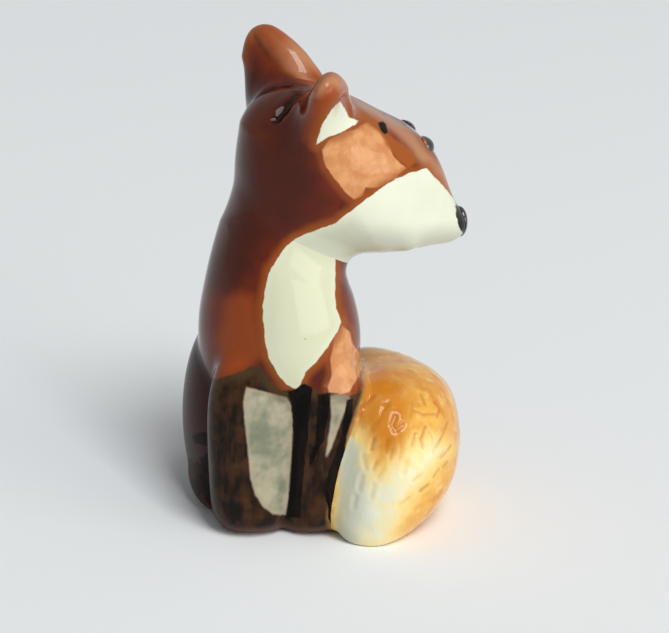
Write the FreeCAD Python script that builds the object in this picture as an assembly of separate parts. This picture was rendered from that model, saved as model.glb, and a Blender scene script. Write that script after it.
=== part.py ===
import FreeCAD
import Part

import math
import os

# Seated fox ornament in glazed earthenware, about 42 mm tall.
#
# The fox sits upright and looks over its left shoulder. It is put together from separate
# clay pieces: a hollow slip-cast torso, a pressed head, two ears, two forelegs, two
# haunches, two hind paws, a fat tail curled round the left side, two eye pellets and a nose.
# They are luted face to face with slip before the firing, so nothing moves.
#
# Frame in millimetres: the origin is on the ground under the neck, +Z is up, the chest
# faces -Y and the fox's own left is +X. The head looks towards +X.

UP = FreeCAD.Vector(0, 0, 1)
BACK = FreeCAD.Vector(0, 1, 0)
LEFT = FreeCAD.Vector(1, 0, 0)
SIDES = {"left": 1, "right": -1}
SECTION_POINTS = 16
HALF = 0.5

# Torso casting: height, greatest half width at the shoulder, and how far the chest and the
# rump stand from the neck's axis.
torso_height = 31.5
shoulder_half_width = 7.0
chest_reach = 8.5
rump_reach = 9.9
torso_wall = 2.4
hip_width_share = 0.88
# height, lean of the axis to the left and half width as shares of the shoulder, chest, rump
torso_foot_shares = (
    (0.000, 0.05, 0.74, 0.52, 0.82),
    (0.035, 0.05, 0.80, 0.56, 0.92),
)
# the same above the floor of the hollow, which is as thick as the first row is high
torso_body_shares = (
    (0.110, 0.05, 0.85, 0.58, 0.98),
    (0.250, 0.05, hip_width_share, 0.60, 1.00),
    (0.340, 0.05, 0.91, 0.74, 0.97),
    (0.410, 0.05, 0.96, 0.87, 0.92),
    (0.460, 0.05, 0.99, 0.93, 0.87),
    (0.530, 0.04, 1.00, 0.94, 0.80),
    (0.640, 0.00, 0.92, 0.86, 0.69),
    (0.760, -0.06, 0.79, 0.71, 0.60),
    (0.890, -0.06, 0.67, 0.56, 0.50),
    (1.000, -0.02, 0.46, 0.38, 0.32),
)

# The hole in the base that the slip is poured through, in line with the hollow inside.
pour_hole_diameter = 6.2
pour_hole_back = 1.9

# Head: length from the back of the skull to the snout, greatest width at the cheeks,
# height from the jaw to the crown.
head_length = 21.8
head_width = 12.6
head_height = 15.8
skull_reach = 4.3
head_seat_depth = 8.7
head_heading_deg = 9.0
head_roll_deg = 3.0
head_egg_share = 0.13
head_fullness = 2.5
# station along the head, half width, crown, jaw and fullness, as shares of the head's sizes
head_station_shares = (
    (0.000, 0.10, 0.62, 0.50, 0.80),
    (0.016, 0.40, 0.80, 0.34, 0.85),
    (0.065, 0.66, 0.90, 0.23, 0.92),
    (0.147, 0.85, 0.965, 0.165, 0.97),
    (0.249, 0.95, 0.99, 0.115, 1.00),
    (0.362, 1.00, 0.965, 0.085, 1.00),
    (0.496, 0.99, 0.89, 0.06, 1.05),
    (0.630, 0.86, 0.79, 0.055, 1.15),
    (0.754, 0.67, 0.69, 0.05, 1.25),
    (0.847, 0.51, 0.525, 0.04, 1.10),
    (0.917, 0.39, 0.335, 0.035, 0.95),
    (0.969, 0.27, 0.23, 0.055, 0.85),
    (1.000, 0.12, 0.165, 0.09, 0.80),
)

# Ears: blunt cones with a hollow pressed into the outer front face.
ear_height = 8.0
ear_width = 8.3
ear_thickness = 4.6
ear_spacing_share = 0.56
ear_station_share = 0.273
ear_splay_deg = 31.0
ear_sweep_deg = 13.5
ear_turn_deg = 42.0
ear_seat_share = 0.775
# height, width and thickness, as shares of the ear's own sizes
ear_station_shares = (
    (0.00, 0.96, 0.96),
    (0.14, 1.00, 1.00),
    (0.30, 0.95, 0.94),
    (0.50, 0.82, 0.80),
    (0.70, 0.64, 0.64),
    (0.85, 0.46, 0.48),
    (0.94, 0.31, 0.34),
    (0.985, 0.17, 0.19),
    (1.00, 0.06, 0.07),
)
conch_rim = 0.92
conch_depth = 1.1
conch_length_share = 0.71
conch_centre_share = 0.48
conch_face_share = 0.80

# Nose and eye pellets.
nose_width = 2.4
nose_height = 2.8
nose_thickness = 1.15
nose_height_share = 0.13
eye_length = 2.1
eye_width = 1.7
eye_height = 1.7
eye_spacing_share = 0.333
eye_station_share = 0.755
eye_sink_share = 0.53

# Forelegs: two columns that meet in the middle under the chest.
foreleg_height = 19.0
right_foreleg_width = 7.0
left_foreleg_width = 6.4
foreleg_front = 8.3
foreleg_back = 2.4
foreleg_overlap = 0.3
foreleg_fullness = 2.3
left_step = 0.7
# height, outer edge, front edge, as shares
foreleg_station_shares = (
    (0.000, 0.72, 0.76),
    (0.026, 0.81, 0.87),
    (0.075, 0.88, 0.955),
    (0.155, 0.93, 1.00),
    (0.320, 0.97, 0.99),
    (0.520, 1.00, 0.945),
    (0.680, 0.97, 0.89),
    (0.800, 0.86, 0.80),
    (0.920, 0.66, 0.68),
    (1.000, 0.45, 0.55),
)

# Haunches and hind paws, one on each side of the rump.
haunch_height = 18.2
haunch_width_share = 0.385
haunch_length_share = 0.68
haunch_centre_height = 8.2
haunch_sink = 2.26
haunch_front = 4.3
hind_paw_width = 4.4
hind_paw_length = 8.0
hind_paw_height = 6.4
hind_paw_centre_height = 2.9
hind_paw_outset = 1.0
hind_paw_back = 0.6

# Tail: a fat brush that starts behind the rump, curls round the left haunch and ends in
# a point in front of the left foreleg.
tail_standoff = 5.44
tail_half_width = 5.6
tail_rise_share = 0.385
tail_lead = 2.55
# X as a share of the tail's reach, Y as a share of the rump's reach or of the tail's front,
# centre height and half height as shares of tail_half_height, half width as a share
tail_station_shares = (
    (0.10, 0.98, 0.42, 0.16, 0.20),
    (0.14, 0.99, 0.44, 0.34, 0.40),
    (0.36, 0.98, 0.56, 0.52, 0.54),
    (0.66, 0.80, 0.76, 0.77, 0.74),
    (0.90, 0.44, 0.92, 0.93, 0.92),
    (0.98, 0.00, 0.97, 1.00, 1.00),
    (0.89, -0.33, 0.95, 0.98, 1.07),
    (0.70, -0.63, 0.86, 0.93, 1.04),
    (0.565, -0.84, 0.67, 0.72, 0.80),
    (0.50, -0.96, 0.43, 0.45, 0.46),
    (0.48, -1.00, 0.33, 0.20, 0.21),
)

# How far every cutting shape runs past what it cuts.
overrun = 40.0

# Worked out from the sizes above: the torso's side at the hip, and what stands on it.
hip_half_width = shoulder_half_width * hip_width_share
haunch_centre = hip_half_width - haunch_sink
haunch_width = haunch_height * haunch_width_share
haunch_length = haunch_height * haunch_length_share
haunch_back = haunch_length * HALF - haunch_front
tail_half_height = haunch_height * tail_rise_share
tail_reach = hip_half_width + tail_standoff
tail_front = foreleg_front + tail_lead


def squared(value, fullness):
    """A sine or cosine bent so that an outline is an ellipse at 2 and boxier above it."""
    return math.copysign(abs(value) ** (2 / fullness), value)


def section(centre, side, rise, half_width, above, below, egg_share=0.0, fullness=2.0):
    """A closed smooth outline round a centre. An egg share makes the lower half wider."""
    points = []
    for index in range(SECTION_POINTS):
        angle = 2 * math.pi * index / SECTION_POINTS
        across = squared(math.sin(angle), fullness) * (1 - egg_share * math.cos(angle))
        up = squared(math.cos(angle), fullness)
        reach = above if up > 0 else below
        points.append(centre + side * (half_width * across) + rise * (reach * up))
    curve = Part.BSplineCurve()
    curve.interpolate(points, PeriodicFlag=True)
    return Part.Wire([curve.toShape()])


def main_solid(shape):
    """The largest solid of a cut, without the thin slivers that a cut can leave."""
    return max(shape.Solids, key=lambda solid: solid.Volume)


def ellipsoid(centre, half_x, half_y, half_z):
    """A ball of unit radius, stretched along the three axes and moved to its centre."""
    stretch = FreeCAD.Matrix()
    stretch.scale(FreeCAD.Vector(half_x, half_y, half_z))
    ball = Part.makeSphere(1).transformGeometry(stretch)
    ball.translate(centre)
    return ball.Solids[0]


def ground():
    """Everything under the surface that the fox stands on."""
    return Part.makeBox(
        2 * overrun, 2 * overrun, overrun, FreeCAD.Vector(-overrun, -overrun, -overrun)
    )


def torso_outline(stations, inset=0.0):
    """A loft through rows of the torso's table, drawn in all round by the inset."""
    wires = []
    for height_share, lean_share, width_share, chest_share, rump_share in stations:
        wires.append(
            section(
                FreeCAD.Vector(
                    shoulder_half_width * lean_share, 0, torso_height * height_share
                ),
                LEFT,
                -BACK,
                shoulder_half_width * width_share - inset,
                chest_reach * chest_share - inset,
                rump_reach * rump_share - inset,
            )
        )
    return Part.makeLoft(wires, True)


def hollow_torso(outer):
    """A cast wall all round, open only at the pour hole in the base."""
    rows = torso_body_shares[:-1]
    hollow = torso_outline(rows, torso_wall)
    floor_top = torso_height * rows[0][0]
    centre_x = shoulder_half_width * rows[0][1]
    hole = Part.makeCylinder(
        pour_hole_diameter * HALF,
        floor_top + torso_wall * HALF,
        FreeCAD.Vector(centre_x, pour_hole_back, 0),
    )
    return main_solid(outer.cut(hollow.fuse(hole)))


def head_loft():
    """The head in its own frame: X from the neck's axis to the snout, Z from the jaw."""
    wires = []
    for along, width_share, crown_share, jaw_share, fullness_share in head_station_shares:
        middle = (crown_share + jaw_share) * HALF * head_height
        half_height = (crown_share - jaw_share) * HALF * head_height
        wires.append(
            section(
                FreeCAD.Vector(along * head_length - skull_reach, 0, middle),
                BACK,
                UP,
                head_width * HALF * width_share,
                half_height,
                half_height,
                head_egg_share,
                head_fullness * fullness_share,
            )
        )
    return Part.makeLoft(wires, True)


def head_placement():
    """Where the head sits on the neck."""
    turn = FreeCAD.Rotation(UP, head_heading_deg)
    roll = FreeCAD.Rotation(LEFT, head_roll_deg)
    return FreeCAD.Placement(
        FreeCAD.Vector(0, 0, torso_height - head_seat_depth), turn.multiply(roll)
    )


def on_head(shape):
    """A copy of a shape made in the head's own frame, moved to the head's place."""
    placed = shape.copy()
    placed.Placement = head_placement().multiply(placed.Placement)
    return placed


def ear_loft(side):
    """One ear in the head's frame, from its seat inside the skull to its blunt tip."""
    sign = SIDES[side]
    splay = math.radians(ear_splay_deg)
    sweep = math.radians(ear_sweep_deg)
    turn = math.radians(ear_turn_deg)
    foot = FreeCAD.Vector(
        head_length * ear_station_share - skull_reach,
        sign * head_width * ear_spacing_share * HALF,
        head_height * ear_seat_share,
    )
    axis = FreeCAD.Vector(-math.sin(sweep), sign * math.sin(splay), math.cos(splay))
    axis.normalize()
    outward = FreeCAD.Vector(math.sin(turn), sign * math.cos(turn), 0)
    outward = (outward - axis * outward.dot(axis)).normalize()
    along = axis.cross(outward).normalize()
    wires = []
    for height_share, width_share, thickness_share in ear_station_shares:
        half_thickness = ear_thickness * HALF * thickness_share
        wires.append(
            section(
                foot + axis * (ear_height * height_share),
                along,
                outward,
                ear_width * HALF * width_share,
                half_thickness,
                half_thickness,
            )
        )
    ear = Part.makeLoft(wires, True)
    conch = ellipsoid(
        FreeCAD.Vector(),
        ear_width * HALF * conch_face_share - conch_rim,
        conch_depth,
        ear_height * HALF * conch_length_share,
    )
    frame = FreeCAD.Matrix(
        along.x, outward.x, axis.x, 0,
        along.y, outward.y, axis.y, 0,
        along.z, outward.z, axis.z, 0,
        0, 0, 0, 1,
    )
    middle = foot + axis * (ear_height * conch_centre_share)
    face = middle + outward * (ear_thickness * HALF * conch_face_share)
    conch.Placement = FreeCAD.Placement(face, FreeCAD.Placement(frame).Rotation)
    return main_solid(ear.cut(conch))


def skin_height(solid, x, y):
    """How high the top skin of a solid is at a place."""
    probe = Part.makeLine(
        FreeCAD.Vector(x, y, -overrun), FreeCAD.Vector(x, y, 2 * overrun)
    )
    inside = solid.common(probe)
    return inside.BoundBox.ZMax


def eye_pellet(head, side):
    """A small oval pellet pressed into the brow."""
    x = head_length * eye_station_share - skull_reach
    y = SIDES[side] * head_width * eye_spacing_share * HALF
    top = skin_height(head, x, y)
    centre = FreeCAD.Vector(x, y, top - eye_sink_share * eye_height)
    return ellipsoid(centre, eye_length * HALF, eye_width * HALF, eye_height * HALF)


def nose_pellet():
    """The nose, an oval pellet on the end of the snout."""
    centre = FreeCAD.Vector(
        head_length - skull_reach - nose_thickness * HALF * HALF,
        0,
        nose_height_share * head_height,
    )
    return ellipsoid(
        centre, nose_thickness * HALF, nose_width * HALF, nose_height * HALF
    )


def foreleg_loft(side):
    """One foreleg column, flat where it meets the other one."""
    sign = SIDES[side]
    step = left_step if side == "left" else 0.0
    width = left_foreleg_width if side == "left" else right_foreleg_width
    wires = []
    for height_share, outer_share, front_share in foreleg_station_shares:
        outer = width * outer_share
        front = foreleg_front * front_share
        half_width = (outer + foreleg_overlap) * HALF
        half_depth = (front - foreleg_back) * HALF
        centre = FreeCAD.Vector(
            sign * (outer - half_width),
            -(foreleg_back + half_depth) - step,
            foreleg_height * height_share,
        )
        wires.append(
            section(
                centre,
                LEFT,
                BACK,
                half_width,
                half_depth,
                half_depth,
                fullness=foreleg_fullness,
            )
        )
    leg = Part.makeLoft(wires, True)
    other_side = Part.makeBox(
        overrun, 2 * overrun, 2 * overrun, FreeCAD.Vector(0, -overrun, -overrun)
    )
    if side == "left":
        other_side.translate(FreeCAD.Vector(-overrun, 0, 0))
    return main_solid(leg.cut(other_side))


def haunch_ball(side):
    """The thigh, an upright oval mass on the side of the rump."""
    centre = FreeCAD.Vector(
        SIDES[side] * haunch_centre, haunch_back, haunch_centre_height
    )
    return ellipsoid(
        centre, haunch_width * HALF, haunch_length * HALF, haunch_height * HALF
    )


def hind_paw_ball(side):
    """The hind foot, an oval mass in front of the haunch."""
    centre = FreeCAD.Vector(
        SIDES[side] * (haunch_centre + hind_paw_outset),
        hind_paw_back,
        hind_paw_centre_height,
    )
    return ellipsoid(
        centre, hind_paw_width * HALF, hind_paw_length * HALF, hind_paw_height * HALF
    )


def tail_loft():
    """The brush, lofted through sections square to a curved line on the ground."""
    centres = []
    for x_share, y_share, height_share, _, _ in tail_station_shares:
        y_size = rump_reach if y_share > 0 else tail_front
        centres.append(
            FreeCAD.Vector(
                tail_reach * x_share, y_size * y_share, tail_half_height * height_share
            )
        )
    wires = []
    last = len(centres) - 1
    for index, centre in enumerate(centres):
        run = centres[min(index + 1, last)] - centres[max(index - 1, 0)]
        heading = FreeCAD.Vector(run.x, run.y, 0).normalize()
        side = UP.cross(heading)
        _, _, _, width_share, rise_share = tail_station_shares[index]
        half_height = tail_half_height * rise_share
        wires.append(
            section(
                centre,
                side,
                UP,
                tail_half_width * width_share,
                half_height,
                half_height,
            )
        )
    return Part.makeLoft(wires, True)


def seated(shape, *neighbours):
    """A piece with a seat cut to fit each neighbour, so that they meet face to face."""
    for neighbour in neighbours:
        shape = main_solid(shape.cut(neighbour))
    return shape


def figurine():
    """Every piece of the fox by its node's name."""
    floor = ground()
    torso = torso_outline(torso_foot_shares + torso_body_shares)
    head_in_place = head_loft()
    pieces = {}
    pieces["head"] = seated(on_head(head_in_place), torso)
    whole_head = on_head(head_in_place)
    for side in SIDES:
        pieces["ear_" + side] = seated(on_head(ear_loft(side)), whole_head)
        pieces["eye_" + side] = seated(
            on_head(eye_pellet(head_in_place, side)), whole_head
        )
    pieces["nose"] = seated(on_head(nose_pellet()), whole_head)
    legs = {side: foreleg_loft(side) for side in SIDES}
    haunches = {side: haunch_ball(side) for side in SIDES}
    paws = {side: hind_paw_ball(side) for side in SIDES}
    for side in SIDES:
        leg = legs[side]
        pieces["foreleg_" + side] = seated(leg, torso, floor)
        pieces["haunch_" + side] = seated(haunches[side], torso, leg, floor)
        pieces["hind_paw_" + side] = seated(
            paws[side], torso, leg, haunches[side], floor
        )
    pieces["tail"] = seated(
        tail_loft(), torso, legs["left"], haunches["left"], paws["left"], floor
    )
    pieces["torso"] = hollow_torso(torso)
    return pieces


os.makedirs("parts", exist_ok=True)
for node, solid in figurine().items():
    solid.exportStep(os.path.join("parts", node + ".step"))
    box = solid.BoundBox
    print(
        f"{node:16s} {solid.Volume:9.1f} mm3  "
        f"x {box.XMin:6.2f} {box.XMax:6.2f}  y {box.YMin:6.2f} {box.YMax:6.2f}  "
        f"z {box.ZMin:6.2f} {box.ZMax:6.2f}  valid {solid.isValid()}"
    )
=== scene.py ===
# %% [markdown]
# A seated fox in glazed earthenware, about 42 mm tall. The clay pieces were pressed and cast,
# luted together with slip, painted and dipped in one clear, slightly amber glaze. In the kiln
# the glaze runs off the edges and pools in the folds, so no joint shows as a line. This
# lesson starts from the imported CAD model, lays the glaze over it, and then paints it.

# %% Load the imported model
import bpy
import bmesh
import math
import numpy as np
from mathutils import Matrix, Vector
from mathutils.bvhtree import BVHTree
from mathutils.interpolate import poly_3d_calc
from mathutils.kdtree import KDTree


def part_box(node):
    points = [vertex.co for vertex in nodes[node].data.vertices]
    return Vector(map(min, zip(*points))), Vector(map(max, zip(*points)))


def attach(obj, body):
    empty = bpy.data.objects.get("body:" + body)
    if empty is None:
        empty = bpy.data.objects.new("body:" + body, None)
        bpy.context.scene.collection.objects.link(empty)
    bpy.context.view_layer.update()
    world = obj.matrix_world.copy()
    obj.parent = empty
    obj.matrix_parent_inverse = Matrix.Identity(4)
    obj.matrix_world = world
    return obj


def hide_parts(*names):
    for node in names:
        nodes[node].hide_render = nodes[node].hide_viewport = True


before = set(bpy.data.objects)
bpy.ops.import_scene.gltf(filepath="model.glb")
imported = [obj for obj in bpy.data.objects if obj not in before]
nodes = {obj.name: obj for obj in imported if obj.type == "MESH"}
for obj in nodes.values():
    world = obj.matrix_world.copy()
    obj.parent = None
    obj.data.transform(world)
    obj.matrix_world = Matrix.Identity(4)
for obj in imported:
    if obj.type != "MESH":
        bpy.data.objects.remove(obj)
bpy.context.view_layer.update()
MM = 0.001
print("clay pieces:", ", ".join(sorted(nodes)))

# %% [markdown]
# The camera comes first, because the outlines further down, of the paint and of the painted
# light and shade, are drawn on what it sees. It stands 16 degrees to the fox's right and 20
# degrees above it, with a long lens, and leans 3 degrees. An outline could also be drawn flat on
# one of the main planes, but the fox turns its head, so no main plane shows the whole face.

# %% Camera
PICTURE = (669, 633)
FOCAL_PIXELS = 2912.0
DISTANCE = 260.0
AIM_ACROSS = 5.04
AIM_UP = 16.80
azimuth = math.radians(-16.0)
elevation = math.radians(20.0)
lean = math.radians(3.0)
view_right = Vector((math.cos(azimuth), math.sin(azimuth), 0))
view_back = Vector((
    math.sin(azimuth) * math.cos(elevation),
    -math.cos(azimuth) * math.cos(elevation),
    math.sin(elevation),
))
view_up = view_back.cross(view_right)
eye = (view_right * AIM_ACROSS + view_up * AIM_UP + view_back * DISTANCE) * MM
lens_right = view_right * math.cos(lean) + view_up * math.sin(lean)
lens_up = view_up * math.cos(lean) - view_right * math.sin(lean)

camera_data = bpy.data.cameras.new("camera")
camera_data.sensor_width = 36.0
camera_data.lens = FOCAL_PIXELS / PICTURE[0] * camera_data.sensor_width
camera_data.clip_start = 0.01
camera = bpy.data.objects.new("camera", camera_data)
bpy.context.scene.collection.objects.link(camera)
stand = Matrix((lens_right, lens_up, view_back)).transposed().to_4x4()
camera.matrix_world = Matrix.Translation(eye) @ stand
bpy.context.scene.camera = camera
print(f"lens {camera_data.lens:.1f} mm at {eye.length:.3f} m")


def on_picture(points):
    """Where points in metres land on the picture, across and down in pixels."""
    offset = points - np.array(eye)
    depth = -offset @ np.array(view_back)
    across = FOCAL_PIXELS * (offset @ np.array(lens_right)) / depth
    down = -FOCAL_PIXELS * (offset @ np.array(lens_up)) / depth
    return np.stack([PICTURE[0] / 2 + across, PICTURE[1] / 2 + down], 1)


# %% [markdown]
# Small tools for meshes. A modifier is run on a mesh by itself and its result kept, and whole
# sets of points are moved at once.

# %% Mesh tools
def points_of(mesh):
    """Every vertex of a mesh, as rows of x, y and z in metres."""
    flat = np.zeros(len(mesh.vertices) * 3, np.float32)
    mesh.vertices.foreach_get("co", flat)
    return flat.reshape(-1, 3).astype(float)


def normals_of(mesh):
    """The outward direction at every vertex."""
    flat = np.zeros(len(mesh.vertices) * 3, np.float32)
    mesh.vertex_normals.foreach_get("vector", flat)
    return flat.reshape(-1, 3).astype(float)


def move_points(mesh, points):
    """Puts every vertex of a mesh at a new place."""
    mesh.vertices.foreach_set("co", points.astype(np.float32).ravel())
    mesh.update()


def shaped(mesh, kind, **settings):
    """The mesh that one modifier makes of a mesh."""
    worker = bpy.data.objects.new("worker", mesh)
    bpy.context.scene.collection.objects.link(worker)
    modifier = worker.modifiers.new(kind.lower(), kind)
    for name, value in settings.items():
        setattr(modifier, name, value)
    graph = bpy.context.evaluated_depsgraph_get()
    result = bpy.data.meshes.new_from_object(worker.evaluated_get(graph), depsgraph=graph)
    bpy.data.objects.remove(worker)
    return result


def relaxed(mesh, rounds, chosen=None):
    """Evens a mesh out by moving each vertex halfway to its neighbours, a few rounds over."""
    flat = np.zeros(len(mesh.edges) * 2, np.int32)
    mesh.edges.foreach_get("vertices", flat)
    ends = flat.reshape(-1, 2)
    points = points_of(mesh)
    chosen = np.arange(len(points)) if chosen is None else chosen
    row = np.full(len(points), -1)
    row[chosen] = np.arange(len(chosen))
    mover = row[np.concatenate([ends[:, 0], ends[:, 1]])]
    other = np.concatenate([ends[:, 1], ends[:, 0]])[mover >= 0]
    mover = mover[mover >= 0]
    count = np.bincount(mover, minlength=len(chosen))[:, None]
    for _ in range(rounds):
        sums = [np.bincount(mover, points[other, axis], len(chosen)) for axis in range(3)]
        points[chosen] += 0.5 * (np.stack(sums, 1) / count - points[chosen])
    move_points(mesh, points)
    return mesh


def clay(names, swell):
    """Closed copies of CAD nodes in one mesh, each swollen by some millimetres."""
    heap = bmesh.new()
    for name in names:
        piece = bmesh.new()
        piece.from_mesh(nodes[name].data)
        bmesh.ops.remove_doubles(piece, verts=piece.verts, dist=0.001 * MM)
        piece.normal_update()
        for vert in piece.verts:
            vert.co += vert.normal * swell * MM
        single = bpy.data.meshes.new(name)
        piece.to_mesh(single)
        piece.free()
        heap.from_mesh(single)
        bpy.data.meshes.remove(single)
    mesh = bpy.data.meshes.new("clay")
    heap.to_mesh(mesh)
    heap.free()
    return mesh


# %% [markdown]
# The fired skin. Dipping covers the whole figure at once, so the glaze is made once, over all
# the luted pieces, and cut back into pieces afterwards. A voxel remesh melts the pieces into
# one closed skin, and relaxing rounds it. Molten glaze fills a fold but doesn't wear down an
# edge, so a vertex that relaxing moves outwards goes all the way, and one that it moves
# inwards only a part.

# %% Fired skin
SKIN_CELL = 0.18
SKIN_SWELL = 0.04
MELT_ROUNDS = 60
EDGE_WEAR = 0.2
PELLETS = ("eye_left", "eye_right", "nose")
body_names = [name for name in sorted(nodes) if name not in PELLETS]
skin = shaped(clay(body_names, SKIN_SWELL), "REMESH", mode="VOXEL", voxel_size=SKIN_CELL * MM)
relaxed(skin, 3)
bare = points_of(skin)
outward = normals_of(skin)
relaxed(skin, MELT_ROUNDS)
moved = points_of(skin) - bare
filled = (moved * outward).sum(1) / MM
kept_share = np.where(filled > 0, 1.0, EDGE_WEAR)[:, None]
move_points(skin, bare + moved * kept_share)
print(f"skin of {len(skin.vertices)} points, glaze up to {filled.max():.2f} mm deep in the folds")

# %% [markdown]
# Some joints were also smoothed with a wet finger before the firing: the ears into the skull,
# the skull into the neck and the tail into the rump. There the fold disappears in a wide hollow
# curve. The points that lie close to both clays are chosen, and relaxed for longer. Each row
# has the two clays, the reach in millimetres, the rounds, and the share by which an edge wears.

# %% Joints smoothed with a finger
def clay_tree(name):
    """A CAD node's surface, ready to be asked for its nearest point."""
    mesh = nodes[name].data
    return BVHTree.FromPolygons(
        [v.co for v in mesh.vertices], [tuple(f.vertices) for f in mesh.polygons]
    )


trees = {name: clay_tree(name) for name in body_names}


def away_from(name, points):
    """Millimetres from each point to a node's surface."""
    return np.array([trees[name].find_nearest(Vector(p))[3] for p in points]) / MM


FINGER_JOINTS = (
    ("head", "ear_left", 2.6, 500, 0.12), ("head", "ear_right", 3.2, 900, 0.25),
    ("head", "torso", 3.6, 700, 0.6), ("tail", "torso", 2.2, 420, 0.12),
)
for first, second, reach, rounds, rubbed in FINGER_JOINTS:
    start = points_of(skin)
    low, high = (np.array(corner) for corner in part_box(second))
    close = np.where(((start > low - reach * MM) & (start < high + reach * MM)).all(1))[0]
    near_second = close[away_from(second, start[close]) < reach]
    joint = near_second[away_from(first, start[near_second]) < reach]
    lie = normals_of(skin)
    relaxed(skin, rounds, joint)
    shift = points_of(skin) - start
    raised = (shift * lie).sum(1)
    share = np.where(raised > 0, 1.0, rubbed)[:, None]
    move_points(skin, start + shift * share)
    print(f"{first} to {second}: {len(joint)} points, up to {raised.max() / MM:.2f} mm of slip")

# %% [markdown]
# The lower end of each ear was rubbed down until it runs out into the cheek, so only the upper
# part of its rim stands free. The spot is found by where the picture shows it, and mirrored
# for the other ear.

# %% Ears rubbed into the cheeks
HEAD_BASE = Vector((0, 0, 22.8)) * MM
head_turn = Matrix.Rotation(math.radians(9.0), 3, "Z") @ Matrix.Rotation(math.radians(3.0), 3, "X")
HEAD_SIDE = np.array(head_turn @ Vector((0, 1, 0)))


def mirrored(points):
    """Points of the head, swapped from one side of it to the other."""
    side = (points - np.array(HEAD_BASE)) @ HEAD_SIDE
    return points - 2 * side[:, None] * HEAD_SIDE


def seen_at(points, place):
    """The point nearest to the camera at a place on the picture."""
    there = np.where(np.linalg.norm(on_picture(points) - np.array(place), axis=1) < 4.0)[0]
    return points[there[np.argmax(points[there] @ np.array(view_back))]]


EAR_FOOT = (305, 148)
RIM_LOW = 30
RIM_REACH = 0.8
spot = seen_at(points_of(skin), EAR_FOOT)
far_spot = mirrored(spot[None])[0]
EAR_RUBS = ((spot, 3.6, 800), (spot, 4.6, 120), (far_spot, 2.8, 300))
for middle, radius, rounds in EAR_RUBS:
    reach = np.linalg.norm(points_of(skin) - middle, axis=1) / MM
    relaxed(skin, rounds, np.where(reach < radius)[0])
for name in ("ear_left", "ear_right"):
    start = points_of(skin)
    lie = normals_of(skin)
    high = np.where(start[:, 2] > RIM_LOW * MM)[0]
    relaxed(skin, 120, high[away_from(name, start[high]) < RIM_REACH])
    shift = points_of(skin) - start
    share = np.where((shift * lie).sum(1) > 0, 1.0, 0.0)[:, None]
    move_points(skin, start + shift * share)
relaxed(skin, 3)
print("ear feet rubbed down at", [round(c / MM, 1) for c in spot])

# %% [markdown]
# The hand that held the figure left it slimmer at the back of the neck and pushed the tail's
# side out. Each press is one soft dent or swelling, placed where the picture has it, with its
# rise and its radius. The top of the tail has also slumped a little under its own weight, along
# all of its length. What is fur is settled first, because the slump draws the skin away from
# the CAD tail. How deep the glaze pools is measured last, on the finished form.

# %% Pressed by hand
PRESSES = (((218, 216), -0.6, 3.6), ((451, 480), 0.36, 3.6))
SLUMP = 0.85
SLUMP_MIDDLE = 412
SLUMP_WIDTH = 42
SLUMP_FOOT = 440
SLUMP_RISE = 70
SLUMP_FADE = 0.8
FUR_GAP = 0.1
TAIL_GAP = 0.3
SEAM_GAP = 2.0
SEAM_SHARE = 0.15
LEGS_BACK = -4
FAR = 9.0
unpressed = points_of(skin)
low, high = (np.array(corner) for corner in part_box("tail"))
nearby = np.where(((unpressed > low - MM) & (unpressed < high + MM)).all(1))[0]
tail_gap = away_from("tail", unpressed[nearby])
on_tail = nearby[tail_gap < TAIL_GAP]
fur_reach = np.full(len(unpressed), FAR)
fur_reach[nearby] = np.where(tail_gap < FUR_GAP, -FAR, tail_gap)
for place, rise, radius in PRESSES:
    pressed = points_of(skin)
    from_press = np.linalg.norm(pressed - seen_at(pressed, place), axis=1) / MM
    lift = rise * MM * np.exp(-((from_press / radius) ** 2))
    move_points(skin, pressed + normals_of(skin) * lift[:, None])
slumped = points_of(skin)
seen_across, seen_down = on_picture(slumped[nearby]).T
share = np.exp(-(((seen_across - SLUMP_MIDDLE) / SLUMP_WIDTH) ** 2))
share *= np.clip((SLUMP_FOOT - seen_down) / SLUMP_RISE, 0, 1)
slumped[nearby, 2] -= SLUMP * MM * share * np.clip(1 - tail_gap / SLUMP_FADE, 0, 1)
move_points(skin, slumped)
beside_tail = (tail_gap > FUR_GAP) & (tail_gap < SEAM_GAP)
behind_legs = slumped[nearby, 1] > LEGS_BACK * MM
seam = nearby[beside_tail & (share > SEAM_SHARE) & behind_legs]
relaxed(skin, 150, seam)
smooth_skin = relaxed(skin.copy(), MELT_ROUNDS)
pooled = ((points_of(smooth_skin) - points_of(skin)) * normals_of(skin)).sum(1) / MM
print(f"{len(PRESSES)} presses, glaze pools up to {pooled.max():.2f} mm")
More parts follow.
